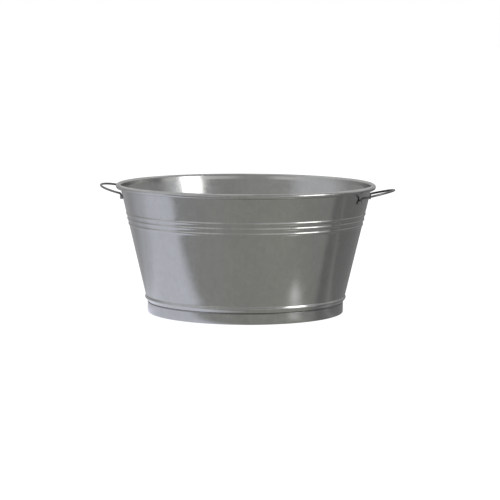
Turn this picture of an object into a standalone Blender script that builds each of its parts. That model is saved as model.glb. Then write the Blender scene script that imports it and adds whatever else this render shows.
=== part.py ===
"""Round galvanised steel tub with two wire handles.

A free-standing tub: two beaded half walls with a rolled rim around a hoop of wire, a recessed
bottom pan whose edge is hemmed round the foot of the wall, and two fixed wire handles. Each
handle's feet are clamped by riveted ears.

Frame: metres, +Z up. The origin is the middle of the circle that the tub stands on. The handles
lie along +X (right) and -X (left); -Y is the front.
"""

import math

import bmesh
import bpy
from mathutils import Matrix, Vector

# ---- driving dimensions (metres) ----
HEIGHT = 0.220              # foot to top of the rolled rim
RIM_RADIUS = 0.2225         # outside of the rolled rim
CONE_FOOT_RADIUS = 0.1645   # outside of the sloping wall, carried down to the ground
WALL_SLOPE = 0.2348         # outward run of the wall per unit of height
SHEET = 0.0006              # thickness of the galvanised sheet
GAP = 0.0003                # clearance between touching pieces

CURL_RADIUS = 0.0043        # outside of the rolled rim's own section
NECK_BOTTOM = 0.2103        # where the wall turns steeper under the rim
HOOP_RADIUS = 0.0030        # section radius of the wire inside the rim

BEAD_HEIGHTS = (0.1694, 0.1606, 0.1519)
BEAD_HALF_WIDTH = 0.0034
BEAD_DEPTH = 0.0010
SEAT_BEAD_HEIGHT = 0.0255   # the big bead over the bottom pan
SEAT_BEAD_HALF_WIDTH = 0.0052
SEAT_BEAD_DEPTH = 0.0022

FLOOR_HEIGHT = 0.0200       # middle of the floor sheet above the ground
FLOOR_CORNER = 0.0040       # bend between floor and skirt
WALL_FOOT = 0.0028          # lower edge of the wall inside the hem
FOOT_RADIUS = 0.1670        # middle of the wall's sheet where it stands upright inside the hem
FOOT_TOP = 0.0184           # top of that upright part
HEM_TOP = 0.0172
GROUND_RING = (0.1665, 0.1672)      # inner and outer edge of the flat ring on the ground

LAP_WIDTH = math.radians(2.6)       # how far the back wall runs on behind the front wall
LAP_BOTTOM = 0.0320
LAP_TOP = 0.2045
WALL_END_GAP = math.radians(0.05)   # each wall stops this far from the side plane

HANDLE_WIRE = 0.0018        # radius of the handle wire
HANDLE_HALF_WIDTH = 0.0520  # each root's distance from the handle's middle
HANDLE_REACH = 0.2575       # outside of the bow from the tub's axis
HANDLE_ROOT_HEIGHT = 0.2023
HANDLE_RISE = math.radians(13.0)
HANDLE_ROOT_BEND = 0.0045
HANDLE_FOOT = 0.0092        # straight end of the wire, measured down the wall from the root
BOW_STEPS = 12              # facets along half of the bow

EAR_HALF_WIDTH = 0.0076
EAR_HEIGHT = 0.0056
EAR_SHEET = 0.0008
EAR_DROP = 0.0061           # middle of the ear below the handle's root, down the wall
RIVET_OFFSET = 0.0053       # each rivet from the middle of its ear
RIVET_SHANK = 0.0012
RIVET_HOLE = 0.0015
RIVET_HEAD = 0.0020
RIVET_DOME = 0.0011
RIVET_TAIL = 0.0008

HALF_STEPS = 30             # facets round each half wall
WIRE_SIDES = 8
RIVET_SIDES = 12

WALL_ANGLE = math.atan(WALL_SLOPE)

# ---- scene ----
for old in list(bpy.data.objects):
    bpy.data.objects.remove(old, do_unlink=True)

tub = bpy.data.collections.new("galvanised_tub")
cutters = bpy.data.collections.new("cutters")
bpy.context.scene.collection.children.link(tub)
bpy.context.scene.collection.children.link(cutters)


def make_material(name, colour, roughness):
    material = bpy.data.materials.new(name)
    material.use_nodes = True
    shader = material.node_tree.nodes["Principled BSDF"]
    shader.inputs["Base Color"].default_value = (*colour, 1.0)
    shader.inputs["Metallic"].default_value = 1.0
    shader.inputs["Roughness"].default_value = roughness
    return material


def add_object(name, data, material=None, collection=tub):
    piece = bpy.data.objects.new(name, data)
    collection.objects.link(piece)
    if material:
        data.materials.append(material)
    return piece


def apply_modifiers(piece):
    """Replace the object's mesh by its evaluated one."""
    graph = bpy.context.evaluated_depsgraph_get()
    mesh = bpy.data.meshes.new_from_object(piece.evaluated_get(graph))
    piece.modifiers.clear()
    piece.data = mesh


def smooth(piece, angle=35.0):
    piece.data.shade_smooth()
    piece.data.set_sharp_from_angle(angle=math.radians(angle))


# ---- outlines: points (radius, height) ----
def wall_radius(height):
    """Radius of the outside of the sloping wall."""
    return CONE_FOOT_RADIUS + WALL_SLOPE * height


def sheet_radius(height):
    """Radius of the middle of the wall's sheet."""
    return wall_radius(height) - 0.5 * SHEET / math.cos(WALL_ANGLE)


def arc(centre, radius, start, end, steps):
    points = []
    for i in range(steps + 1):
        angle = math.radians(start + (end - start) * i / steps)
        points.append((centre[0] + radius * math.cos(angle), centre[1] + radius * math.sin(angle)))
    return points


def bead(height, half_width, depth, steps):
    """A rounded rib that stands out of the wall, listed from its top to its bottom."""
    points = []
    for i in range(steps + 1):
        across = 1.0 - 2.0 * i / steps
        level = height + across * half_width
        points.append((sheet_radius(level) + depth * 0.5 * (1.0 + math.cos(math.pi * across)), level))
    return points


def wall_outline():
    """Free edge of the rolled rim, over the top, and down the wall to its foot."""
    roll = CURL_RADIUS - 0.5 * SHEET
    centre = (RIM_RADIUS - CURL_RADIUS, HEIGHT - CURL_RADIUS)
    points = arc(centre, roll, -135.0, 180.0, 14)
    for height in (NECK_BOTTOM, LAP_TOP):
        points.append((sheet_radius(height), height))
    for height in BEAD_HEIGHTS:
        points += bead(height, BEAD_HALF_WIDTH, BEAD_DEPTH, 4)
    points.append((sheet_radius(LAP_BOTTOM), LAP_BOTTOM))
    points += bead(SEAT_BEAD_HEIGHT, SEAT_BEAD_HALF_WIDTH, SEAT_BEAD_DEPTH, 6)
    points += [(FOOT_RADIUS, FOOT_TOP), (FOOT_RADIUS, WALL_FOOT)]
    return points


def pan_outline():
    """Centre of the floor, down the skirt inside the wall, and round the wall's lower edge."""
    inset = SHEET + GAP
    skirt = FOOT_RADIUS - inset
    hem = FOOT_RADIUS + inset
    ground = 0.5 * SHEET
    points = [(0.0, FLOOR_HEIGHT)]
    points += arc((skirt - FLOOR_CORNER, FLOOR_HEIGHT - FLOOR_CORNER), FLOOR_CORNER, 90.0, 0.0, 4)
    points += [(skirt, 0.0022), (skirt + 0.0001, 0.0010)]
    points += [(radius, ground) for radius in GROUND_RING]
    points += [(hem - 0.0002, 0.0010), (hem, 0.0022), (hem, HEM_TOP)]
    return points


def turned_sheet(name, outline, turn, steps, start=0.0):
    """An open sheet turned about the Z axis, as a mesh."""
    mesh = bpy.data.meshes.new(name)
    points = [(radius, 0.0, height) for radius, height in outline]
    mesh.from_pydata(points, [(i, i + 1) for i in range(len(points) - 1)], [])
    piece = add_object(name, mesh)
    screw = piece.modifiers.new("turn", "SCREW")
    screw.axis = "Z"
    screw.angle = turn
    screw.steps = steps
    screw.render_steps = steps
    screw.use_merge_vertices = True
    screw.merge_threshold = 0.00001
    apply_modifiers(piece)
    piece.data.transform(Matrix.Rotation(start, 4, "Z"))
    return piece


def thicken(piece, thickness):
    solid = piece.modifiers.new("sheet", "SOLIDIFY")
    solid.thickness = thickness
    solid.offset = 0.0
    solid.use_even_offset = True


# ---- walls, pan and hoop ----
def angle_of(point):
    return math.atan2(point.y, point.x)


def add_side_laps(piece):
    """Step both upright edges of the back wall inward and run them on behind the front wall."""
    step = (SHEET + GAP) / math.cos(WALL_ANGLE)
    half_facet = 0.5 * (math.pi - 2.0 * WALL_END_GAP) / HALF_STEPS
    flatten = math.cos(half_facet) / math.cos(half_facet - LAP_WIDTH)
    sheet = bmesh.new()
    sheet.from_mesh(piece.data)
    for side in (0.0, math.pi):
        edge_angle = abs(side - WALL_END_GAP)
        ends = [v for v in sheet.verts if abs(angle_of(v.co) - edge_angle) < math.radians(0.5)]
        lapped = {v for v in ends if LAP_BOTTOM - GAP < v.co.z < LAP_TOP + GAP}
        for vert in lapped:
            radius = vert.co.xy.length
            vert.co.xy *= (radius - step) / radius
        border = [e for e in sheet.edges if e.is_boundary and lapped.issuperset(e.verts)]
        grown = bmesh.ops.extrude_edge_only(sheet, edges=border)
        added = [g for g in grown["geom"] if isinstance(g, bmesh.types.BMVert)]
        swing = -LAP_WIDTH if side == 0.0 else LAP_WIDTH
        bmesh.ops.rotate(sheet, verts=added, cent=(0.0, 0.0, 0.0), matrix=Matrix.Rotation(swing, 3, "Z"))
        bmesh.ops.scale(sheet, verts=added, vec=(flatten, flatten, 1.0))
    bmesh.ops.recalc_face_normals(sheet, faces=sheet.faces)
    sheet.to_mesh(piece.data)
    sheet.free()


def make_wall(name, start, material):
    wall = turned_sheet(name, wall_outline(), math.pi - 2.0 * WALL_END_GAP, HALF_STEPS, start)
    wall.data.materials.append(material)
    return wall


zinc = make_material("zinc_front", (0.52, 0.53, 0.52), 0.30)
back_wall = make_wall("back_wall", WALL_END_GAP, make_material("zinc_back", (0.50, 0.51, 0.52), 0.32))
front_wall = make_wall("front_wall", math.pi + WALL_END_GAP, zinc)
add_side_laps(back_wall)
for wall in (front_wall, back_wall):
    thicken(wall, SHEET)
    smooth(wall)

bottom_pan = turned_sheet("bottom_pan", pan_outline(), 2.0 * math.pi, 2 * HALF_STEPS)
bottom_pan.data.materials.append(make_material("zinc_pan", (0.48, 0.49, 0.50), 0.36))
thicken(bottom_pan, SHEET)
smooth(bottom_pan)


def make_hoop():
    bpy.ops.mesh.primitive_torus_add(
        major_segments=2 * HALF_STEPS, minor_segments=WIRE_SIDES,
        major_radius=RIM_RADIUS - CURL_RADIUS, minor_radius=HOOP_RADIUS,
        location=(0.0, 0.0, HEIGHT - CURL_RADIUS))
    hoop = bpy.context.object
    for holder in list(hoop.users_collection):
        holder.objects.unlink(hoop)
    tub.objects.link(hoop)
    hoop.name = "rim_wire"
    hoop.data.materials.append(make_material("hoop_steel", (0.30, 0.30, 0.31), 0.45))
    smooth(hoop)


make_hoop()


# ---- handles ----
def round_corner(before, corner, after, radius, steps=5):
    """Points round a bend between two straight runs."""
    back = (before - corner).normalized()
    ahead = (after - corner).normalized()
    half_turn = 0.5 * back.angle(ahead)
    middle = corner + (back + ahead).normalized() * radius / math.sin(half_turn)
    start = corner + back * radius / math.tan(half_turn) - middle
    end = corner + ahead * radius / math.tan(half_turn) - middle
    sweep = start.angle(end)
    points = []
    for i in range(steps + 1):
        part = i / steps
        point = math.sin((1.0 - part) * sweep) * start + math.sin(part * sweep) * end
        points.append(middle + point / math.sin(sweep))
    return points


def wall_point(angle, height, stand_off):
    """A point at a height beside the wall, stand_off clear of its outside."""
    radius = wall_radius(height) + stand_off / math.cos(WALL_ANGLE)
    return Vector((radius * math.cos(angle), radius * math.sin(angle), height))


LEG_ANGLE = math.asin(HANDLE_HALF_WIDTH / wall_radius(HANDLE_ROOT_HEIGHT))


def handle_path():
    """The right handle: straight end, root, half-round bow and back again."""
    stand_off = GAP + HANDLE_WIRE
    root = wall_point(LEG_ANGLE, HANDLE_ROOT_HEIGHT, stand_off)
    foot = wall_point(LEG_ANGLE, HANDLE_ROOT_HEIGHT - HANDLE_FOOT * math.cos(WALL_ANGLE), stand_off)
    reach = HANDLE_REACH - HANDLE_WIRE - root.x
    bow = []
    for i in range(1, BOW_STEPS + 1):
        turn = 0.5 * math.pi * i / BOW_STEPS
        run = reach * math.sin(turn)
        bow.append(Vector((root.x + run, root.y * math.cos(turn), root.z + run * math.tan(HANDLE_RISE))))
    rear = round_corner(foot, root, bow[0], HANDLE_ROOT_BEND) + bow
    front = [Vector((p.x, -p.y, p.z)) for p in reversed(rear[:-1])]
    return [foot] + rear + front + [Vector((foot.x, -foot.y, foot.z))]


def make_handle(name, side, material):
    curve = bpy.data.curves.new(name, "CURVE")
    curve.dimensions = "3D"
    curve.bevel_depth = HANDLE_WIRE
    curve.bevel_resolution = 2
    curve.use_fill_caps = True
    path = handle_path()
    spline = curve.splines.new("POLY")
    spline.points.add(len(path) - 1)
    for point, place in zip(spline.points, path):
        point.co = (side * place.x, side * place.y, place.z, 1.0)
    add_object(name, curve, material)


wire_steel = make_material("handle_wire", (0.34, 0.34, 0.35), 0.34)
make_handle("right_handle", 1.0, wire_steel)
make_handle("left_handle", -1.0, wire_steel)


# ---- ears and rivets ----
def ear_frame(side, end):
    """Frame on the outside of the wall: x round the wall, y up it, z straight out of it."""
    angle = end * LEG_ANGLE if side > 0.0 else math.pi - end * LEG_ANGLE
    origin = wall_point(angle, HANDLE_ROOT_HEIGHT - EAR_DROP * math.cos(WALL_ANGLE), 0.0)
    slope = math.sin(WALL_ANGLE)
    rise = math.cos(WALL_ANGLE)
    across = Vector((-math.sin(angle), math.cos(angle), 0.0))
    up = Vector((slope * math.cos(angle), slope * math.sin(angle), rise))
    out = across.cross(up)
    frame = Matrix((across, up, out)).transposed().to_4x4()
    return Matrix.Translation(origin) @ frame


def ear_outline():
    """Flange, channel over the wire, flange: points (across, out)."""
    flange = GAP + 0.5 * EAR_SHEET
    channel = HANDLE_WIRE + GAP + 0.5 * EAR_SHEET
    wire_centre = GAP + HANDLE_WIRE
    over = arc((0.0, wire_centre), channel, 180.0, 0.0, 8)
    left = [(-EAR_HALF_WIDTH, flange), (-channel, flange)]
    right = [(channel, flange), (EAR_HALF_WIDTH, flange)]
    return left + over + right


def make_ear(name, frame, holes, material):
    outline = ear_outline()
    ear_mesh = bmesh.new()
    rows = []
    for level in (-0.5 * EAR_HEIGHT, 0.5 * EAR_HEIGHT):
        rows.append([ear_mesh.verts.new((across, level, out)) for across, out in outline])
    for i in range(len(outline) - 1):
        ear_mesh.faces.new((rows[0][i], rows[0][i + 1], rows[1][i + 1], rows[1][i]))
    mesh = bpy.data.meshes.new(name)
    ear_mesh.to_mesh(mesh)
    ear_mesh.free()
    ear = add_object(name, mesh, material)
    thicken(ear, EAR_SHEET)
    ear.matrix_world = frame
    for hole in holes:
        cut(ear, hole)


def cut(piece, cutter):
    hole = piece.modifiers.new(cutter.name, "BOOLEAN")
    hole.operation = "DIFFERENCE"
    hole.solver = "EXACT"
    hole.object = cutter


def make_hole_cutter(name, frame):
    bpy.ops.mesh.primitive_cylinder_add(vertices=RIVET_SIDES, radius=RIVET_HOLE, depth=0.008)
    cutter = bpy.context.object
    for holder in list(cutter.users_collection):
        holder.objects.unlink(cutter)
    cutters.objects.link(cutter)
    cutter.name = name
    cutter.matrix_world = frame
    cutter.hide_render = True
    cutter.display_type = "WIRE"
    return cutter


def rivet_outline():
    """Dome, shank and upset tail: points (radius, distance out of the wall), from the dome's top."""
    head_face = 2.0 * GAP + EAR_SHEET
    tail_face = -(SHEET + 2.5 * GAP)
    crown = [(RIVET_HEAD * math.sin(turn), head_face + RIVET_DOME * math.cos(turn))
             for turn in (0.0, 0.52, 1.05, 1.50)]
    shank = [(RIVET_HEAD, head_face), (RIVET_SHANK, head_face), (RIVET_SHANK, tail_face)]
    tail = [(RIVET_HEAD * 0.9, tail_face), (RIVET_HEAD * 0.8, tail_face - RIVET_TAIL)]
    return crown + shank + tail + [(0.0, tail_face - RIVET_TAIL)]


def make_rivet(name, frame, material):
    rivet = turned_sheet(name, rivet_outline(), 2.0 * math.pi, RIVET_SIDES)
    rivet.data.materials.append(material)
    rivet.matrix_world = frame
    smooth(rivet, 50.0)


ear_zinc = make_material("ear_zinc", (0.46, 0.46, 0.46), 0.38)
rivet_steel = make_material("rivet_steel", (0.40, 0.40, 0.41), 0.36)
for side_name, side in (("right", 1.0), ("left", -1.0)):
    for end_name, end in (("front", -1.0), ("rear", 1.0)):
        place = side_name + "_" + end_name
        frame = ear_frame(side, end)
        wall = front_wall if end < 0.0 else back_wall
        holes = []
        for number, offset in ((1, -RIVET_OFFSET), (2, RIVET_OFFSET)):
            rivet_frame = frame @ Matrix.Translation((offset, 0.0, 0.0))
            cutter = make_hole_cutter("hole_" + place + "_" + str(number), rivet_frame)
            cut(wall, cutter)
            holes.append(cutter)
            make_rivet("rivet_" + place + "_" + str(number), rivet_frame, rivet_steel)
        make_ear("ear_" + place, frame, holes, ear_zinc)
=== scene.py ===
"""Looks of a round galvanised steel tub with two wire handles.

Frame: metres, +Z up, the same as the CAD model's. The tub stands on the origin, its handles lie
along +X (right) and -X (left), and -Y is its front. Every sheet, handle, ear and rivet is made
again at its full smoothness in the place of its CAD node. The walls and the pan carry the faint
waves of rolled sheet. The rim wire is hidden in the rolled rim and keeps its CAD mesh.
"""

import math

import bmesh
import bpy
from mathutils import Matrix, Vector


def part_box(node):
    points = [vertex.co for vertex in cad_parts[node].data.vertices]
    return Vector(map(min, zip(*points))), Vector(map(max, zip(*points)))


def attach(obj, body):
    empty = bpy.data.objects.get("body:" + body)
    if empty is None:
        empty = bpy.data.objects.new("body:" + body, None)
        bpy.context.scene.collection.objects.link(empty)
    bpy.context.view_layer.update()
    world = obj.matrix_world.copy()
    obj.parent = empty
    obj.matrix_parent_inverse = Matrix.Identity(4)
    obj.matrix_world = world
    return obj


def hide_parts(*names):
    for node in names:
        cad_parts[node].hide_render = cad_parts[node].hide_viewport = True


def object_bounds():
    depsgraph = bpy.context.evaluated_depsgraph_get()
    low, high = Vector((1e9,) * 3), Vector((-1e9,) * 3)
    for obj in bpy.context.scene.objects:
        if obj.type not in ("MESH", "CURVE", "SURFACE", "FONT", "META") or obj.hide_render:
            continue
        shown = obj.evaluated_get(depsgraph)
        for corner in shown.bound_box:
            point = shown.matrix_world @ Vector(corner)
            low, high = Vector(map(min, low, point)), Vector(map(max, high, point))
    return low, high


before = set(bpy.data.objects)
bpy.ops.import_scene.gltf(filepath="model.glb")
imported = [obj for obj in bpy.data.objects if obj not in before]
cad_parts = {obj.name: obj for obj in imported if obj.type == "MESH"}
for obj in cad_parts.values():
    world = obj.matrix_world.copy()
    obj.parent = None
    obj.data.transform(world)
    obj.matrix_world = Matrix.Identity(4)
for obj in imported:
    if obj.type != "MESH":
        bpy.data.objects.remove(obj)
CAD_LOW, CAD_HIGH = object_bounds()

# ---- sizes (metres), from the frame where it has them ----
HEIGHT = CAD_HIGH.z                                # foot to top of the rolled rim
RIM_RADIUS = -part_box("front_wall")[0].y            # outside of the rolled rim
HANDLE_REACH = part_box("right_handle")[1].x         # outside of the grip from the tub's axis
SHEET = 0.0006                                     # thickness of the galvanised sheet
GAP = 0.0003                                       # clearance between touching pieces

CONE_FOOT_RADIUS = 0.1645                          # outside of the sloping wall, carried down to the ground
WALL_SLOPE = 0.2348                                # outward run of the wall per unit of height
WALL_ANGLE = math.atan(WALL_SLOPE)
CURL_RADIUS = 0.0043                               # outside of the rolled rim's own section
CURL_START = -135.0                                # free edge of the roll, degrees round its section
CURL_END = 180.0                                   # where the roll meets the neck
CURL_STEPS = 38
NECK_BOTTOM = 0.2103                               # where the wall turns steeper under the rim
NECK_PARTS = (0.3, 0.6, 0.88)                      # points down the neck, as shares of its height
NECK_STEP = 0.0007                                 # from the neck down to the first point of the slope

BEAD_HEIGHTS = (0.1694, 0.1606, 0.1519)
BEAD_HALF_WIDTH = 0.0034
BEAD_DEPTH = 0.0010
BEAD_STEPS = 12
SEAT_BEAD_HEIGHT = 0.0255                          # the big bead over the bottom pan
SEAT_BEAD_HALF_WIDTH = 0.0052
SEAT_BEAD_DEPTH = 0.0022
SEAT_BEAD_STEPS = 16

FLOOR_HEIGHT = 0.0200                              # middle of the floor sheet above the ground
FLOOR_CORNER = 0.0040                              # bend between floor and skirt
FLOOR_RING_RADIUS = 0.1150                         # pressed ring that stiffens the floor
FLOOR_RING_HALF_WIDTH = 0.0060
FLOOR_RING_DEPTH = 0.0012
FLOOR_STEPS = 44                                   # points from the floor's centre to its corner
SKIRT_MIDDLE = 0.0090                              # a point on the skirt between floor and fold
WALL_FOOT = 0.0028                                 # lower edge of the wall inside the hem
FOOT_RADIUS = 0.1670                               # middle of the wall's sheet inside the hem
FOOT_TOP = 0.0184                                  # top of the wall's upright part inside the hem
HEM_TOP = 0.0172
GROUND_RING = (0.1665, 0.1672)                     # inner and outer edge of the flat ring on the ground
FOLD_TOP = 0.0022                                  # where skirt and hem start to fold in to that ring

LAP_WIDTH = math.radians(2.6)                      # how far the back wall runs on behind the front wall
LAP_BOTTOM = 0.0320
LAP_TOP = 0.2045
LAP_COLUMNS = 3
WALL_END_GAP = math.radians(0.05)                  # each wall stops this far from the side plane
EDGE_COLUMN = 0.001                                # a column of points this near a wall's end is its edge

HANDLE_WIRE = 0.0018                               # radius of the handle wire
HANDLE_HALF_WIDTH = 0.0520                         # each root's distance from the handle's middle
HANDLE_ROOT_HEIGHT = 0.2023
HANDLE_RISE = math.radians(13.0)
HANDLE_ROOT_BEND = 0.0045
HANDLE_FOOT = 0.0092                               # straight end of the wire, down the wall from the root
BOW_START = math.radians(7.5)                      # where the half-round bow takes over from the root
BOW_STEPS = 44                                     # facets along half of the bow

EAR_HALF_WIDTH = 0.0076
EAR_HEIGHT = 0.0056
EAR_SHEET = 0.0008
EAR_CORNER = 0.0016                                # rounding of the ear's corners
EAR_DROP = 0.0061                                  # middle of the ear below the handle's root
CHANNEL_ROUND = 0.85                               # share of the channel's radius where the ear is round
CHANNEL_FLAT = 1.35                                # share of it where the ear lies flat on the wall
RIVET_OFFSET = 0.0053                              # each rivet from the middle of its ear
RIVET_SHANK = 0.0012
RIVET_HEAD = 0.0020
RIVET_EDGE = 0.0003                                # upright edge of the head under its dome
RIVET_DOME = 0.0011
RIVET_TAIL = 0.0008
TAIL_SHARES = (0.9, 0.8)                           # radius of the upset tail, as shares of the head's

WALL_STEPS = 120                                   # columns round each half wall
PAN_STEPS = 240
MERGE_DISTANCE = 0.000001                          # points nearer than this are one point
WAVE_DEPTH = 0.00022                               # how far the rolled sheet wanders from a true cone
WAVE_FADES = (0.030, 0.040)                        # heights over which it fades, below the rim, at the foot
# Upright waves: share, number round the tub, phase, twist with height.
WAVES = ((0.50, 5.0, 0.6, 2.0), (0.34, 11.0, 2.1, -5.0), (0.20, 23.0, 4.0, 9.0), (0.12, 41.0, 1.3, 0.0))
LEVEL_WAVE = (0.22, 38.0, 2.0, 3.0)                # share, turn per metre of height, bend, bends round

# ---- camera ----
CAMERA_AZIMUTH = 11.80                             # degrees, from the front towards +X
CAMERA_ELEVATION = 6.53
CAMERA_DISTANCE = 3.5
CAMERA_LENS = 146.5                                # mm
CAMERA_SENSOR = 36.0                               # mm
CAMERA_ROLL = 0.282
AIM_RIGHT = 0.0076                                 # the aim, off the middle of the tub
AIM_DOWN = 0.0050
TUB_MIDDLE = Vector((0.0, 0.0, 0.5 * HEIGHT))


# ---- outlines: points (radius, height) ----
def wall_radius(height):
    """Radius of the outside of the sloping wall."""
    return CONE_FOOT_RADIUS + WALL_SLOPE * height


def sheet_radius(height):
    """Radius of the middle of the wall's sheet."""
    return wall_radius(height) - 0.5 * SHEET / math.cos(WALL_ANGLE)


def arc(centre, radius, start, end, steps):
    """Points round a centre, from one angle to another in degrees."""
    points = []
    for i in range(steps + 1):
        angle = math.radians(start + (end - start) * i / steps)
        points.append((centre[0] + radius * math.cos(angle), centre[1] + radius * math.sin(angle)))
    return points


def straight_wall(top, bottom, spacing=0.006):
    """Evenly spaced points down the sloping wall, without the two ends."""
    steps = max(1, round((top - bottom) / spacing))
    heights = [top + (bottom - top) * i / steps for i in range(1, steps)]
    return [(sheet_radius(height), height) for height in heights]


def bead(height, half_width, depth, steps):
    """A rounded rib that stands out of the wall, listed from its top to its bottom."""
    points = []
    for i in range(steps + 1):
        across = 1.0 - 2.0 * i / steps
        level = height + across * half_width
        points.append((sheet_radius(level) + depth * 0.5 * (1.0 + math.cos(math.pi * across)), level))
    return points


def step_in(steps=6):
    """Smooth step from the seat bead in to the upright foot, without the first point."""
    top = SEAT_BEAD_HEIGHT - SEAT_BEAD_HALF_WIDTH
    points = []
    for i in range(1, steps + 1):
        part = i / steps
        blend = part * part * (3.0 - 2.0 * part)
        points.append((sheet_radius(top) + (FOOT_RADIUS - sheet_radius(top)) * blend,
                       top + (FOOT_TOP - top) * part))
    return points


def wall_outline():
    """Free edge of the rolled rim, over the top, and down the wall to its foot."""
    roll = CURL_RADIUS - 0.5 * SHEET
    centre = (RIM_RADIUS - CURL_RADIUS, HEIGHT - CURL_RADIUS)
    points = arc(centre, roll, CURL_START, CURL_END, CURL_STEPS)
    neck_run = sheet_radius(NECK_BOTTOM) - points[-1][0]
    for part in NECK_PARTS:
        points.append((centre[0] - roll + neck_run * part, centre[1] + (NECK_BOTTOM - centre[1]) * part))
    level = NECK_BOTTOM - NECK_STEP
    points.append((sheet_radius(level), level))
    for height in BEAD_HEIGHTS:
        points += straight_wall(level, height + BEAD_HALF_WIDTH)
        points += bead(height, BEAD_HALF_WIDTH, BEAD_DEPTH, BEAD_STEPS)
        level = height - BEAD_HALF_WIDTH
    points += straight_wall(level, SEAT_BEAD_HEIGHT + SEAT_BEAD_HALF_WIDTH)
    points += bead(SEAT_BEAD_HEIGHT, SEAT_BEAD_HALF_WIDTH, SEAT_BEAD_DEPTH, SEAT_BEAD_STEPS)
    points += step_in()
    points += [(FOOT_RADIUS, 0.5 * (FOOT_TOP + WALL_FOOT)), (FOOT_RADIUS, WALL_FOOT)]
    return points


def floor_outline(edge):
    """The floor from its centre to its edge, with the pressed ring that stiffens it."""
    points = []
    for i in range(FLOOR_STEPS):
        radius = edge * i / FLOOR_STEPS
        across = min(1.0, abs(radius - FLOOR_RING_RADIUS) / FLOOR_RING_HALF_WIDTH)
        points.append((radius, FLOOR_HEIGHT + FLOOR_RING_DEPTH * 0.5 * (1.0 + math.cos(math.pi * across))))
    return points


def fold(ring, edge, ground, steps=6):
    """Quarter-round fold from the ring on the ground out to an upright edge, without its last point."""
    points = []
    for i in range(steps):
        turn = 0.5 * math.pi * i / steps
        points.append((ring + (edge - ring) * math.sin(turn),
                       FOLD_TOP + (ground - FOLD_TOP) * math.cos(turn)))
    return points


def pan_outline():
    """Centre of the floor, down the skirt inside the wall, and round the wall's lower edge."""
    inset = SHEET + GAP
    skirt = FOOT_RADIUS - inset
    hem = FOOT_RADIUS + inset
    ground = 0.5 * SHEET
    corner = (skirt - FLOOR_CORNER, FLOOR_HEIGHT - FLOOR_CORNER)
    points = floor_outline(corner[0])
    points += arc(corner, FLOOR_CORNER, 90.0, 0.0, 8)
    points += [(skirt, SKIRT_MIDDLE), (skirt, FOLD_TOP)]
    points += reversed(fold(GROUND_RING[0], skirt, ground))
    points += fold(GROUND_RING[1], hem, ground)
    points += [(hem, FOLD_TOP + (HEM_TOP - FOLD_TOP) * i / 4) for i in range(5)]
    return points


# ---- sheet pieces ----
def wave(angle, height):
    """How far the rolled sheet wanders outward here: long upright waves that fade at rim and foot."""
    upright = sum(share * math.sin(count * angle + phase + twist * height)
                  for share, count, phase, twist in WAVES)
    share, count, bend, bends = LEVEL_WAVE
    level = share * math.sin(count * height + bend * math.sin(bends * angle))
    below_rim, over_foot = WAVE_FADES
    fade = min(1.0, max(0.0, (HEIGHT - height) / below_rim)) * min(1.0, max(0.0, height / over_foot))
    return WAVE_DEPTH * fade * (upright + level)


def turned_sheet(name, outline, angles, closed=False, inset=None):
    """An open sheet turned about the Z axis. inset(angle, height) gives how far it steps inward,
    or None where there is no sheet."""
    sheet = bmesh.new()
    columns = []
    for angle in angles:
        column = []
        for radius, height in outline:
            step = inset(angle, height) if inset else 0.0
            if step is None:
                column.append(None)
                continue
            out = radius + wave(angle, height) - step
            column.append(sheet.verts.new((out * math.cos(angle), out * math.sin(angle), height)))
        columns.append(column)
    if closed:
        columns.append(columns[0])
    for here, there in zip(columns, columns[1:]):
        for i in range(len(outline) - 1):
            corners = (here[i], here[i + 1], there[i + 1], there[i])
            if None not in corners:
                sheet.faces.new(corners)
    bmesh.ops.remove_doubles(sheet, verts=sheet.verts, dist=MERGE_DISTANCE)
    return add_shape(name, sheet)


def add_shape(name, shape):
    """A new object from a bmesh, which is freed."""
    mesh = bpy.data.meshes.new(name)
    shape.to_mesh(mesh)
    shape.free()
    return add_piece(name, mesh)


def add_piece(name, data):
    piece = bpy.data.objects.new(name, data)
    bpy.context.scene.collection.objects.link(piece)
    return piece


def thicken(piece, thickness):
    """Give an open sheet its thickness and leave it a plain mesh."""
    solid = piece.modifiers.new("sheet", "SOLIDIFY")
    solid.thickness = thickness
    solid.offset = 0.0
    solid.use_even_offset = True
    apply_modifiers(piece)


def apply_modifiers(piece):
    graph = bpy.context.evaluated_depsgraph_get()
    mesh = bpy.data.meshes.new_from_object(piece.evaluated_get(graph))
    piece.modifiers.clear()
    piece.data = mesh


def smooth(piece, angle=40.0):
    """Smooth shading, with creases sharper than angle (degrees) kept sharp."""
    piece.data.shade_smooth()
    piece.data.set_sharp_from_angle(angle=math.radians(angle))


def settle(piece, material, slot, *nodes):
    """Finish a piece: material, body and the CAD nodes that it stands for. The slot argument is not used.
    """
    piece.data.materials.clear()
    piece.data.materials.append(material)
    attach(piece, "root")
    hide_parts(*nodes)


def back_inset(angle, height):
    """The back wall's upright edges step inward and run on behind the front wall."""
    beyond = max(WALL_END_GAP - angle, angle - (math.pi - WALL_END_GAP))
    if beyond < -EDGE_COLUMN:
        return 0.0
    if not LAP_BOTTOM < height < LAP_TOP:
        return 0.0 if beyond < EDGE_COLUMN else None
    return (SHEET + GAP) / math.cos(WALL_ANGLE)


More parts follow.
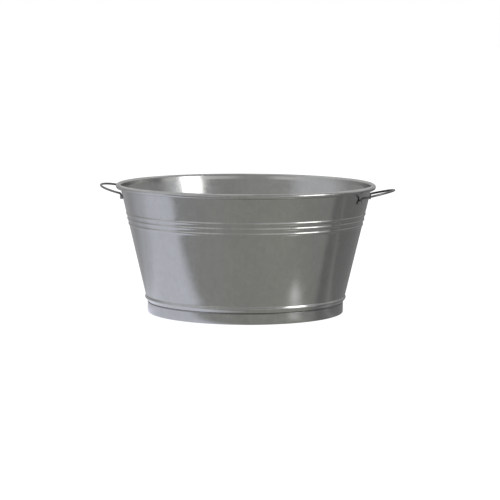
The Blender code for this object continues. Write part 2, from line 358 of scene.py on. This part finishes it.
def make_walls(material):
    outline = wall_outline()
    turn = math.pi - 2.0 * WALL_END_GAP
    front_angles = [math.pi + WALL_END_GAP + turn * i / WALL_STEPS for i in range(WALL_STEPS + 1)]
    front = turned_sheet("front_wall_sheet", outline, front_angles)
    lap = [LAP_WIDTH * (i + 1) / LAP_COLUMNS for i in range(LAP_COLUMNS)]
    middle = [WALL_END_GAP + turn * i / WALL_STEPS for i in range(WALL_STEPS + 1)]
    back_angles = [WALL_END_GAP - a for a in reversed(lap)] + middle + [middle[-1] + a for a in lap]
    back = turned_sheet("back_wall_sheet", outline, back_angles, inset=back_inset)
    for piece, node in ((front, "front_wall"), (back, "back_wall")):
        thicken(piece, SHEET)
        smooth(piece)
        settle(piece, material, "galvanised_sheet", node)


def make_pan(material):
    angles = [2.0 * math.pi * i / PAN_STEPS for i in range(PAN_STEPS)]
    pan = turned_sheet("bottom_pan_sheet", pan_outline(), angles, closed=True)
    thicken(pan, SHEET)
    smooth(pan)
    settle(pan, material, "galvanised_pan", "bottom_pan")


# ---- handles ----
def round_corner(before, corner, after, radius, steps=12):
    """Points round a bend between two straight runs."""
    back = (before - corner).normalized()
    ahead = (after - corner).normalized()
    half_turn = 0.5 * back.angle(ahead)
    middle = corner + (back + ahead).normalized() * radius / math.sin(half_turn)
    start = corner + back * radius / math.tan(half_turn) - middle
    end = corner + ahead * radius / math.tan(half_turn) - middle
    sweep = start.angle(end)
    points = []
    for i in range(steps + 1):
        part = i / steps
        point = math.sin((1.0 - part) * sweep) * start + math.sin(part * sweep) * end
        points.append(middle + point / math.sin(sweep))
    return points


def wall_point(angle, height, stand_off):
    """A point at a height beside the wall, stand_off clear of its outside."""
    radius = wall_radius(height) + stand_off / math.cos(WALL_ANGLE)
    return Vector((radius * math.cos(angle), radius * math.sin(angle), height))


LEG_ANGLE = math.asin(HANDLE_HALF_WIDTH / wall_radius(HANDLE_ROOT_HEIGHT))


def handle_path():
    """The right handle: straight end, root, half-round bow and back again."""
    stand_off = GAP + HANDLE_WIRE
    root = wall_point(LEG_ANGLE, HANDLE_ROOT_HEIGHT, stand_off)
    foot = wall_point(LEG_ANGLE, HANDLE_ROOT_HEIGHT - HANDLE_FOOT * math.cos(WALL_ANGLE), stand_off)
    reach = HANDLE_REACH - HANDLE_WIRE - root.x
    bow = []
    for i in range(BOW_STEPS + 1):
        turn = BOW_START + (0.5 * math.pi - BOW_START) * i / BOW_STEPS
        run = reach * math.sin(turn)
        bow.append(Vector((root.x + run, root.y * math.cos(turn), root.z + run * math.tan(HANDLE_RISE))))
    rear = round_corner(foot, root, bow[0], HANDLE_ROOT_BEND) + bow
    front = [Vector((p.x, -p.y, p.z)) for p in reversed(rear[:-1])]
    return [foot] + rear + front + [Vector((foot.x, -foot.y, foot.z))]


def make_handle(side_name, side, material):
    curve = bpy.data.curves.new(side_name + "_handle_path", "CURVE")
    curve.dimensions = "3D"
    curve.bevel_depth = HANDLE_WIRE
    curve.bevel_resolution = 6
    curve.use_fill_caps = True
    path = handle_path()
    spline = curve.splines.new("POLY")
    spline.points.add(len(path) - 1)
    for point, place in zip(spline.points, path):
        point.co = (side * place.x, side * place.y, place.z, 1.0)
    guide = add_piece(side_name + "_handle_guide", curve)
    graph = bpy.context.evaluated_depsgraph_get()
    mesh = bpy.data.meshes.new_from_object(guide.evaluated_get(graph))
    bpy.data.objects.remove(guide, do_unlink=True)
    handle = add_piece(side_name + "_handle_wire", mesh)
    smooth(handle)
    settle(handle, material, "handle_wire", side_name + "_handle")


# ---- ears and rivets ----
def ear_frame(side, end):
    """Frame on the outside of the wall: x round the wall, y up it, z straight out of it."""
    angle = end * LEG_ANGLE if side > 0.0 else math.pi - end * LEG_ANGLE
    origin = wall_point(angle, HANDLE_ROOT_HEIGHT - EAR_DROP * math.cos(WALL_ANGLE), 0.0)
    slope = math.sin(WALL_ANGLE)
    across = Vector((-math.sin(angle), math.cos(angle), 0.0))
    up = Vector((slope * math.cos(angle), slope * math.sin(angle), math.cos(WALL_ANGLE)))
    axes = Matrix((across, up, across.cross(up))).transposed().to_4x4()
    return Matrix.Translation(origin) @ axes


def ear_lift(across):
    """Height of the middle of the ear's sheet above the wall: flat flanges, a channel over the wire."""
    flange = GAP + 0.5 * EAR_SHEET
    channel = HANDLE_WIRE + GAP + 0.5 * EAR_SHEET
    round_to = CHANNEL_ROUND * channel
    flat_from = CHANNEL_FLAT * channel
    if abs(across) >= flat_from:
        return flange
    if abs(across) <= round_to:
        return GAP + HANDLE_WIRE + math.sqrt(channel * channel - across * across)
    crest = GAP + HANDLE_WIRE + math.sqrt(channel * channel - round_to * round_to)
    part = (abs(across) - round_to) / (flat_from - round_to)
    return crest + (flange - crest) * (part * part * (3.0 - 2.0 * part))


def ear_half_width(level):
    """Half width of the rounded plate at this height above its middle."""
    over = abs(level) - (0.5 * EAR_HEIGHT - EAR_CORNER)
    if over <= 0.0:
        return EAR_HALF_WIDTH
    return EAR_HALF_WIDTH - EAR_CORNER + math.sqrt(max(0.0, EAR_CORNER * EAR_CORNER - over * over))


def make_ear(name, place, material):
    """A rounded plate pressed over the wire, in its place on the wall."""
    plate = bmesh.new()
    columns, rows = 44, 16
    grid = []
    for r in range(rows + 1):
        level = 0.5 * EAR_HEIGHT * math.sin(0.5 * math.pi * (2.0 * r / rows - 1.0))
        half = ear_half_width(level)
        line = []
        for c in range(columns + 1):
            across = half * (2.0 * c / columns - 1.0)
            line.append(plate.verts.new((across, level, ear_lift(across))))
        grid.append(line)
    for low, high in zip(grid, grid[1:]):
        for c in range(columns):
            plate.faces.new((low[c], low[c + 1], high[c + 1], high[c]))
    ear = add_shape(name + "_strap", plate)
    thicken(ear, EAR_SHEET)
    ear.data.transform(place)
    smooth(ear)
    settle(ear, material, "ear_sheet", name)


def rivet_outline():
    """Dome, shank and upset tail: points (radius, distance out of the wall), from the dome's top."""
    head_face = 2.0 * GAP + EAR_SHEET
    tail_face = -(SHEET + 2.5 * GAP)
    rise = RIVET_DOME - RIVET_EDGE
    dome = [(RIVET_HEAD * math.sin(turn), head_face + RIVET_EDGE + rise * math.cos(turn))
            for turn in (0.5 * math.pi * i / 10 for i in range(11))]
    shank = [(RIVET_HEAD, head_face), (RIVET_SHANK, head_face), (RIVET_SHANK, tail_face)]
    tail_end = tail_face - RIVET_TAIL
    tail = [(RIVET_HEAD * TAIL_SHARES[0], tail_face), (RIVET_HEAD * TAIL_SHARES[1], tail_end)]
    return dome + shank + tail + [(0.0, tail_end)]


def make_rivet(name, place, material):
    rivet = bmesh.new()
    outline = rivet_outline()
    sides = 28
    columns = []
    for k in range(sides):
        angle = 2.0 * math.pi * k / sides
        columns.append([rivet.verts.new((radius * math.cos(angle), radius * math.sin(angle), out))
                        for radius, out in outline])
    for here, there in zip(columns, columns[1:] + columns[:1]):
        for i in range(len(outline) - 1):
            rivet.faces.new((here[i], here[i + 1], there[i + 1], there[i]))
    bmesh.ops.remove_doubles(rivet, verts=rivet.verts, dist=MERGE_DISTANCE)
    bmesh.ops.recalc_face_normals(rivet, faces=rivet.faces)
    piece = add_shape(name + "_dome", rivet)
    piece.data.transform(place)
    smooth(piece, angle=50.0)
    settle(piece, material, "rivet_steel", name)


# ---- materials ----
RAGGED = 0.35                   # how far crystal edges stray, as a share of a crystal
RAGGED_SCALE = 1.7              # the noise behind it, finer than the crystals
SMALL_CRYSTALS = 2.7            # how much finer the second set of crystals is
WORN_BAND = (0.0030, 0.0004)    # below the rim's top, where its wear starts and is full
WORN_CLOUDS = (0.45, 0.62)      # the clouds' values between which the rim turns worn
WORN_BRIGHTER = 1.25            # worn zinc against the rest
SCRATCH_NOISE = (0.62, 0.78)    # noise values between which a scratch or a speck appears
SPECK_NOISE = (0.60, 0.72)


class NodeKit:
    """Short names for the arithmetic nodes of a material or the world."""

    def __init__(self, nodes, links):
        self.nodes, self.links = nodes, links

    def feed(self, socket, value):
        """Put a number, a colour or another node's output into a socket."""
        if isinstance(value, (int, float)):
            socket.default_value = value
        elif isinstance(value, tuple):
            socket.default_value = (*value, 1.0)
        else:
            self.links.new(value, socket)

    def calc(self, operation, *values):
        node = self.nodes.new("ShaderNodeMath")
        node.operation = operation
        for socket, value in zip(node.inputs, values):
            self.feed(socket, value)
        return node.outputs["Value"]

    def rise(self, value, low, high):
        """0 below low, 1 above high, smooth between."""
        node = self.nodes.new("ShaderNodeMapRange")
        node.interpolation_type = "SMOOTHSTEP"
        node.inputs["From Min"].default_value = low
        node.inputs["From Max"].default_value = high
        self.links.new(value, node.inputs["Value"])
        return node.outputs["Result"]

    def mixed(self, factor, first, second):
        """The first colour where factor is 0, the second where it is 1."""
        node = self.nodes.new("ShaderNodeMix")
        node.data_type = "RGBA"
        self.links.new(factor, node.inputs["Factor"])
        for socket, value in zip([s for s in node.inputs if s.type == "RGBA"], (first, second)):
            self.feed(socket, value)
        return next(s for s in node.outputs if s.type == "RGBA")

    def separate(self, vector):
        node = self.nodes.new("ShaderNodeSeparateXYZ")
        self.links.new(vector, node.inputs["Vector"])
        return node.outputs["X"], node.outputs["Y"], node.outputs["Z"]


class Painter(NodeKit):
    """Builds one node material, a step at a time."""

    def __init__(self, name):
        self.material = bpy.data.materials.new(name)
        self.material.use_nodes = True
        tree = self.material.node_tree
        super().__init__(tree.nodes, tree.links)
        self.shader = self.nodes["Principled BSDF"]
        self.place = self.nodes.new("ShaderNodeTexCoord").outputs["Object"]

    def scaled(self, x, y, z):
        """The place on the object, stretched along each axis."""
        mapping = self.nodes.new("ShaderNodeMapping")
        mapping.inputs["Scale"].default_value = (x, y, z)
        self.links.new(self.place, mapping.inputs["Vector"])
        return mapping.outputs["Vector"]

    def noise(self, scale, detail, roughness, stretch=(1.0, 1.0, 1.0)):
        node = self.nodes.new("ShaderNodeTexNoise")
        node.inputs["Scale"].default_value = scale
        node.inputs["Detail"].default_value = detail
        node.inputs["Roughness"].default_value = roughness
        self.links.new(self.scaled(*stretch), node.inputs["Vector"])
        return node.outputs["Fac"]

    def crystals(self, scale):
        """One random grey for each zinc crystal, with ragged edges."""
        warp = self.nodes.new("ShaderNodeTexNoise")
        warp.inputs["Scale"].default_value = RAGGED_SCALE * scale
        warp.inputs["Detail"].default_value = 2.0
        self.links.new(self.place, warp.inputs["Vector"])
        shift = self.nodes.new("ShaderNodeVectorMath")
        shift.operation = "MULTIPLY_ADD"
        shift.inputs[1].default_value = (RAGGED / scale,) * 3
        self.links.new(warp.outputs["Color"], shift.inputs[0])
        self.links.new(self.place, shift.inputs[2])
        cells = self.nodes.new("ShaderNodeTexVoronoi")
        cells.inputs["Scale"].default_value = scale
        self.links.new(shift.outputs["Vector"], cells.inputs["Vector"])
        parts = self.nodes.new("ShaderNodeSeparateColor")
        self.links.new(cells.outputs["Color"], parts.inputs["Color"])
        return parts.outputs["Red"]

    def total(self, start, *terms):
        """start + weight * (value - 0.5) for each (value, weight)."""
        result = start
        for value, weight in terms:
            offset = self.calc("SUBTRACT", value, 0.5)
            result = self.calc("ADD", result, self.calc("MULTIPLY", offset, weight))
        return result

    def tinted(self, brightness, colour):
        """colour times a brightness socket."""
        node = self.nodes.new("ShaderNodeVectorMath")
        node.operation = "SCALE"
        node.inputs[0].default_value = colour
        self.links.new(brightness, node.inputs["Scale"])
        return node.outputs["Vector"]

    def bump(self, height, distance, under=None):
        """A bumped normal, distance metres deep, on top of another one."""
        node = self.nodes.new("ShaderNodeBump")
        node.inputs["Strength"].default_value = 1.0
        node.inputs["Distance"].default_value = distance
        self.links.new(height, node.inputs["Height"])
        if under:
            self.links.new(under, node.inputs["Normal"])
        return node.outputs["Normal"]

    def finish(self, colour, roughness, normal):
        self.links.new(colour, self.shader.inputs["Base Color"])
        self.links.new(roughness, self.shader.inputs["Roughness"])
        self.links.new(normal, self.shader.inputs["Normal"])
        self.shader.inputs["Metallic"].default_value = 1.0
        return self.material


def zinc_sheet(name, colour, roughness, crystal_size, contrast):
    """Galvanised sheet: zinc crystals, rolling streaks, soft clouds, fine scratches and a worn rim."""
    paint = Painter(name)
    big = paint.crystals(1.0 / crystal_size)
    small = paint.crystals(SMALL_CRYSTALS / crystal_size)
    streaks = paint.noise(scale=1.0, detail=5.0, roughness=0.6, stretch=(120.0, 120.0, 5.0))
    clouds = paint.noise(scale=14.0, detail=4.0, roughness=0.55)
    scratches = paint.noise(scale=1.0, detail=2.0, roughness=0.7, stretch=(260.0, 260.0, 1400.0))
    scratches = paint.rise(scratches, *SCRATCH_NOISE)
    height = paint.separate(paint.place)[2]
    edge = paint.rise(height, HEIGHT - WORN_BAND[0], HEIGHT - WORN_BAND[1])
    worn = paint.calc("MULTIPLY", edge, paint.rise(clouds, *WORN_CLOUDS))
    brightness = paint.total(1.0, (big, contrast), (small, 0.6 * contrast), (streaks, 0.10), (clouds, 0.09))
    bright = tuple(min(1.0, WORN_BRIGHTER * part) for part in colour)
    base = paint.mixed(worn, paint.tinted(brightness, colour), bright)
    gloss = paint.total(roughness, (big, 0.05), (small, 0.03), (streaks, 0.04), (clouds, 0.05))
    gloss = paint.calc("ADD", gloss, paint.calc("MULTIPLY", scratches, 0.05))
    gloss = paint.calc("SUBTRACT", gloss, paint.calc("MULTIPLY", worn, 0.04))
    normal = paint.bump(big, distance=0.000007)
    normal = paint.bump(streaks, distance=0.000028, under=normal)
    pebble = paint.noise(scale=420.0, detail=3.0, roughness=0.6)
    return paint.finish(base, gloss, paint.bump(pebble, distance=0.000013, under=normal))


def bright_wire(name, colour, roughness):
    """Drawn steel wire: fine lines along it, dull patches and dark specks."""
    paint = Painter(name)
    drawn = paint.noise(scale=1.0, detail=3.0, roughness=0.6, stretch=(160.0, 1500.0, 1500.0))
    patches = paint.noise(scale=60.0, detail=4.0, roughness=0.6)
    specks = paint.rise(paint.noise(scale=700.0, detail=2.0, roughness=0.5), *SPECK_NOISE)
    brightness = paint.total(1.0, (drawn, 0.18), (patches, 0.40))
    brightness = paint.calc("SUBTRACT", brightness, paint.calc("MULTIPLY", specks, 0.12))
    gloss = paint.total(roughness, (patches, 0.16), (drawn, 0.06))
    normal = paint.bump(patches, distance=0.000040)
    normal = paint.bump(drawn, distance=0.000012, under=normal)
    return paint.finish(paint.tinted(brightness, colour), gloss, normal)


def stamped_steel(name, colour, roughness):
    """Small plated stampings: crystals too fine to see, pressed marks and duller hollows."""
    paint = Painter(name)
    patches = paint.noise(scale=150.0, detail=4.0, roughness=0.6)
    grain = paint.crystals(520.0)
    brightness = paint.total(1.0, (patches, 0.35), (grain, 0.14))
    gloss = paint.total(roughness, (patches, 0.20), (grain, 0.08))
    normal = paint.bump(patches, distance=0.000060)
    return paint.finish(paint.tinted(brightness, colour), gloss, normal)


# ---- the tub ----
sheet_zinc = zinc_sheet("galvanised_sheet", colour=(0.360, 0.364, 0.352), roughness=0.165,
                        crystal_size=0.0095, contrast=0.05)
pan_zinc = zinc_sheet("galvanised_pan", colour=(0.350, 0.354, 0.345), roughness=0.190,
                      crystal_size=0.0120, contrast=0.06)
make_walls(sheet_zinc)
make_pan(pan_zinc)

wire_steel = bright_wire("handle_wire", colour=(0.15, 0.15, 0.15), roughness=0.30)
make_handle("right", 1.0, wire_steel)
make_handle("left", -1.0, wire_steel)

ear_steel = stamped_steel("ear_sheet", colour=(0.26, 0.26, 0.255), roughness=0.32)
rivet_steel = stamped_steel("rivet_steel", colour=(0.22, 0.22, 0.22), roughness=0.30)
for side_name, side in (("right", 1.0), ("left", -1.0)):
    for end_name, end in (("front", -1.0), ("rear", 1.0)):
        place = ear_frame(side, end)
        spot = side_name + "_" + end_name
        make_ear("ear_" + spot, place, ear_steel)
        for number, offset in ((1, -RIVET_OFFSET), (2, RIVET_OFFSET)):
            rivet_place = place @ Matrix.Translation((offset, 0.0, 0.0))
            make_rivet("rivet_" + spot + "_" + str(number), rivet_place, rivet_steel)

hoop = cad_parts["rim_wire"]
hoop.material_slots[0].material = bright_wire("hoop_wire", colour=(0.22, 0.21, 0.20), roughness=0.42)


# ---- stage ----
def tint(level, red=1.0, blue=1.0):
    """A grey, a little warmer or cooler."""
    return (level * red, level, level * blue)


FLOOR_HALF_WIDTH = 30.0
PAPER_GLOW = 0.90
PAPER_WHITE = 0.25

# The board: a glowing card, seen only in the steel's reflections, painted with the light and shade of a
# table.
BOARD_HALF_WIDTH = 6.0
BOARD_DROP = 0.0005             # how far the board lies under the paper
# The board's own axes: x to the camera's right, y away from the camera. An edge or strip runs along
# y = slant * x - offset.
EDGE_SLANT = 0.24               # between the dim and the bright table, back to the left
EDGE_OFFSET = 0.158
EDGE_SOFTNESS = 0.024
# Painted shade on the right of the board, with one painted paler strip in it.
SHADE_EDGE = (-0.140, -0.104)   # where the table darkens on the right
SHADE_COLOUR = (0.29, 0.29, 0.29)
STRIP_SLANT = 0.195             # one paler strip in that shade
STRIP_OFFSET = 0.1066
STRIP_HALF_WIDTH = 0.016
STRIP_COLOUR = (0.43, 0.43, 0.43)
# A painted pool of the key light on the board: its middle, axes, sizes and colour.
SPOT_PLACE = (0.156, -0.193)    # where the key light meets the table
SPOT_AXES = ((0.848, -0.530), (0.530, 0.848))
SPOT_SIZES = (0.040, 0.020)
SPOT_COLOUR = (1.20, 1.20, 1.20)

# BOARD_FRONT and BOARD_BEHIND: the board's painted light, in front of and behind the edge between its dim
# and bright parts.
# Stops are (degrees to the right of the camera, colour).
BOARD_FRONT = ((-180.0, tint(0.60)), (-60.0, tint(0.54, blue=1.04)), (-20.0, tint(0.53, 0.99, 0.97)),
               (0.0, tint(0.50, 0.99, 0.94)), (30.0, tint(0.53, 0.99, 0.93)), (62.0, tint(0.46, 1.0, 0.97)),
               (120.0, tint(0.40)), (180.0, tint(0.30)))
BOARD_BEHIND = ((-180.0, tint(0.42)), (-130.0, tint(0.50, blue=1.05)), (-108.0, tint(0.78, 0.99, 1.10)),
                (-86.0, tint(1.10, 0.99, 1.14)), (0.0, tint(1.20, 0.99, 1.13)))
WORLD_HIGH = ((-180.0, tint(0.70)), (-140.0, tint(0.90)), (-90.0, tint(0.95, blue=1.05)),
              (-58.0, tint(0.95, blue=1.06)), (-40.0, tint(0.60)), (0.0, tint(0.55)), (22.0, tint(0.50)),
              (56.0, tint(0.60, blue=1.03)), (72.0, tint(1.00, blue=1.08)), (84.0, tint(0.64, blue=1.05)),
              (106.0, tint(0.62, blue=1.04)), (122.0, tint(0.98)), (140.0, tint(0.85)), (180.0, tint(0.70)))
WORLD_LOW = ((-180.0, tint(0.50)), (-120.0, tint(0.55)), (-80.0, tint(0.95, blue=1.05)),
             (-33.0, tint(1.10)), (-16.0, tint(0.60)), (0.0, tint(0.62)), (20.0, tint(1.00)),
             (42.0, tint(1.20)), (80.0, tint(1.10)), (92.0, tint(0.32)), (110.0, tint(0.50)),
             (180.0, tint(0.50)))
HORIZON_BAND = (0.17, 0.29)     # heights of the direction between which the room changes


def around(azimuth, elevation, distance):
    """A point seen from the tub's middle: azimuth in degrees to the right of the camera."""
    turn = math.radians(CAMERA_AZIMUTH + azimuth)
    rise = math.radians(elevation)
    out = Vector((math.sin(turn) * math.cos(rise), -math.cos(turn) * math.cos(rise), math.sin(rise)))
    return TUB_MIDDLE + distance * out


def facing(point, target):
    """Rotation that turns a light at a point towards a target."""
    return (target - point).to_track_quat("-Z", "Y").to_matrix().to_4x4()


def make_camera():
    """The photo's view: turned, raised, a little rolled and aimed off the tub's middle."""
    data = bpy.data.cameras.new("camera")
    data.lens = CAMERA_LENS
    data.sensor_width = CAMERA_SENSOR
    camera = add_piece("camera", data)
    back = (around(0.0, CAMERA_ELEVATION, 1.0) - TUB_MIDDLE).normalized()
    right = Vector((0.0, 0.0, 1.0)).cross(back).normalized()
    up = back.cross(right)
    aim = TUB_MIDDLE + AIM_RIGHT * right - AIM_DOWN * up
    roll = math.radians(CAMERA_ROLL)
    level = right * math.cos(roll) + up * math.sin(roll)
    axes = Matrix((level, back.cross(level), back)).transposed().to_4x4()
    camera.matrix_world = Matrix.Translation(aim + CAMERA_DISTANCE * back) @ axes
    bpy.context.scene.camera = camera


def glowing(name, colour, strength):
    """A stage material that only shines; returns it with its node tree's parts."""
    material = bpy.data.materials.new(name)
    material.use_nodes = True
    nodes, links = material.node_tree.nodes, material.node_tree.links
    nodes.remove(nodes["Principled BSDF"])
    glow = nodes.new("ShaderNodeEmission")
    glow.inputs["Color"].default_value = (*colour, 1.0)
    glow.inputs["Strength"].default_value = strength
    links.new(glow.outputs["Emission"], nodes["Material Output"].inputs["Surface"])
    return material, nodes, links, glow


def flat_square(name, half_width):
    plane = bmesh.new()
    bmesh.ops.create_grid(plane, x_segments=1, y_segments=1, size=half_width)
    return add_shape(name, plane)


def make_floor():
    """White paper that keeps a faint shadow of the tub; the steel mirrors the board instead."""
    floor = flat_square("floor", FLOOR_HALF_WIDTH)
    material, nodes, links, glow = glowing("white_paper", (1.0, 1.0, 1.0), PAPER_GLOW)
    paper = nodes.new("ShaderNodeBsdfDiffuse")
    paper.inputs["Color"].default_value = (*tint(PAPER_WHITE), 1.0)
    both = nodes.new("ShaderNodeAddShader")
    links.new(glow.outputs["Emission"], both.inputs[0])
    links.new(paper.outputs["BSDF"], both.inputs[1])
    links.new(both.outputs["Shader"], nodes["Material Output"].inputs["Surface"])
    floor.data.materials.append(material)
    floor.visible_glossy = False


def direction(kit, x, y):
    """Place on a ramp of the direction (x, y): 0.5 towards the camera, more on its right."""
    turn = kit.calc("ARCTAN2", x, kit.calc("MULTIPLY", y, -1.0))
    return kit.calc("ADD", kit.calc("DIVIDE", turn, 2.0 * math.pi), 0.5)


def ramp(kit, place, stops):
    """Colour that eases through (azimuth, colour) stops."""
    node = kit.nodes.new("ShaderNodeValToRGB")
    band = node.color_ramp
    band.interpolation = "EASE"
    while len(band.elements) < len(stops):
        band.elements.new(0.5)
    for element, (azimuth, colour) in zip(band.elements, stops):
        element.position = 0.5 + azimuth / 360.0
        element.color = (*colour, 1.0)
    kit.links.new(place, node.inputs["Fac"])
    return node.outputs["Color"]


def past_line(kit, x, y, slant, offset):
    """How far a place lies behind the line y = slant * x - offset, measured along y."""
    return kit.calc("ADD", kit.calc("SUBTRACT", y, kit.calc("MULTIPLY", x, slant)), offset)


def fading(kit, squared):
    """1 where the squared distance is 0, dying away softly."""
    return kit.calc("EXPONENT", kit.calc("MULTIPLY", squared, -1.0))


def pale_strip(kit, x, y):
    """Strength of the painted paler strip in the painted shade."""
    past = kit.calc("DIVIDE", past_line(kit, x, y, STRIP_SLANT, STRIP_OFFSET), STRIP_HALF_WIDTH)
    return fading(kit, kit.calc("MULTIPLY", past, past))


def key_spot(kit, x, y):
    """Strength of the painted oval pool of key light on the table, where the key light would meet it."""
    off_x = kit.calc("SUBTRACT", x, SPOT_PLACE[0])
    off_y = kit.calc("SUBTRACT", y, SPOT_PLACE[1])
    away = 0.0
    for towards, size in zip(SPOT_AXES, SPOT_SIZES):
        along = kit.calc("ADD", kit.calc("MULTIPLY", off_x, towards[0] / size),
                         kit.calc("MULTIPLY", off_y, towards[1] / size))
        away = kit.calc("ADD", away, kit.calc("MULTIPLY", along, along))
    return fading(kit, away)


def board_colour(kit, x, y):
    """Painted light and shade of the table: dim in front, bright behind on the left, dark behind on the
    right, with a painted paler strip and a painted pool of key light.
    """
    place = direction(kit, x, y)
    on_left = kit.calc("LESS_THAN", x, 0.0)
    on_right = kit.calc("GREATER_THAN", x, 0.0)
    behind = kit.rise(past_line(kit, x, y, EDGE_SLANT, EDGE_OFFSET), -EDGE_SOFTNESS, EDGE_SOFTNESS)
    behind = kit.calc("MULTIPLY", behind, on_left)
    colour = kit.mixed(behind, ramp(kit, place, BOARD_FRONT), ramp(kit, place, BOARD_BEHIND))
    # Painted shade on the right, then the painted paler strip.
    shade = kit.calc("MULTIPLY", kit.rise(y, *SHADE_EDGE), on_right)
    colour = kit.mixed(shade, colour, SHADE_COLOUR)
    strip = kit.calc("MULTIPLY", pale_strip(kit, x, y), on_right)
    colour = kit.mixed(strip, colour, STRIP_COLOUR)
    return kit.mixed(key_spot(kit, x, y), colour, SPOT_COLOUR)


def make_board():
    """A glowing card painted with the table's light and shade, as the outside of the wall mirrors it.
    Nothing else sees it.
    """
    board = flat_square("painted_reflection_board", BOARD_HALF_WIDTH)
    board.matrix_world = (Matrix.Translation((0.0, 0.0, -BOARD_DROP))
                          @ Matrix.Rotation(math.radians(CAMERA_AZIMUTH), 4, "Z"))
    material, nodes, links, glow = glowing("painted_reflection_board", (1.0, 1.0, 1.0), 1.0)
    kit = NodeKit(nodes, links)
    x, y, _ = kit.separate(nodes.new("ShaderNodeTexCoord").outputs["Object"])
    links.new(board_colour(kit, x, y), glow.inputs["Color"])
    board.data.materials.append(material)
    board.visible_camera = False
    board.visible_diffuse = False
    board.visible_shadow = False


def make_light(name, azimuth, elevation, distance, width, height, radiance):
    """A rectangular soft light of even radiance, aimed at the tub."""
    data = bpy.data.lights.new(name, "AREA")
    data.shape = "RECTANGLE"
    data.size = width
    data.size_y = height
    data.energy = radiance * math.pi * width * height
    light = add_piece(name, data)
    point = around(azimuth, elevation, distance)
    light.matrix_world = Matrix.Translation(point) @ facing(point, TUB_MIDDLE)


def make_world():
    """White behind the tub; what the steel mirrors changes with the direction round the tub."""
    world = bpy.data.worlds.new("studio")
    world.use_nodes = True
    nodes, links = world.node_tree.nodes, world.node_tree.links
    kit = NodeKit(nodes, links)
    turned = nodes.new("ShaderNodeVectorRotate")
    turned.rotation_type = "Z_AXIS"
    turned.inputs["Angle"].default_value = -math.radians(CAMERA_AZIMUTH)
    links.new(nodes.new("ShaderNodeTexCoord").outputs["Generated"], turned.inputs["Vector"])
    x, y, z = kit.separate(turned.outputs["Vector"])
    place = direction(kit, x, y)
    above = kit.rise(z, *HORIZON_BAND)
    room = kit.mixed(above, ramp(kit, place, WORLD_LOW), ramp(kit, place, WORLD_HIGH))
    seen = nodes.new("ShaderNodeLightPath").outputs["Is Camera Ray"]
    links.new(kit.mixed(seen, room, (1.0, 1.0, 1.0)), nodes["Background"].inputs["Color"])
    bpy.context.scene.world = world


make_camera()
make_floor()
make_board()
make_world()
make_light("key", azimuth=59.0, elevation=20.0, distance=1.6, width=0.62, height=0.75, radiance=3.8)
bpy.context.scene.view_settings.view_transform = "Standard"
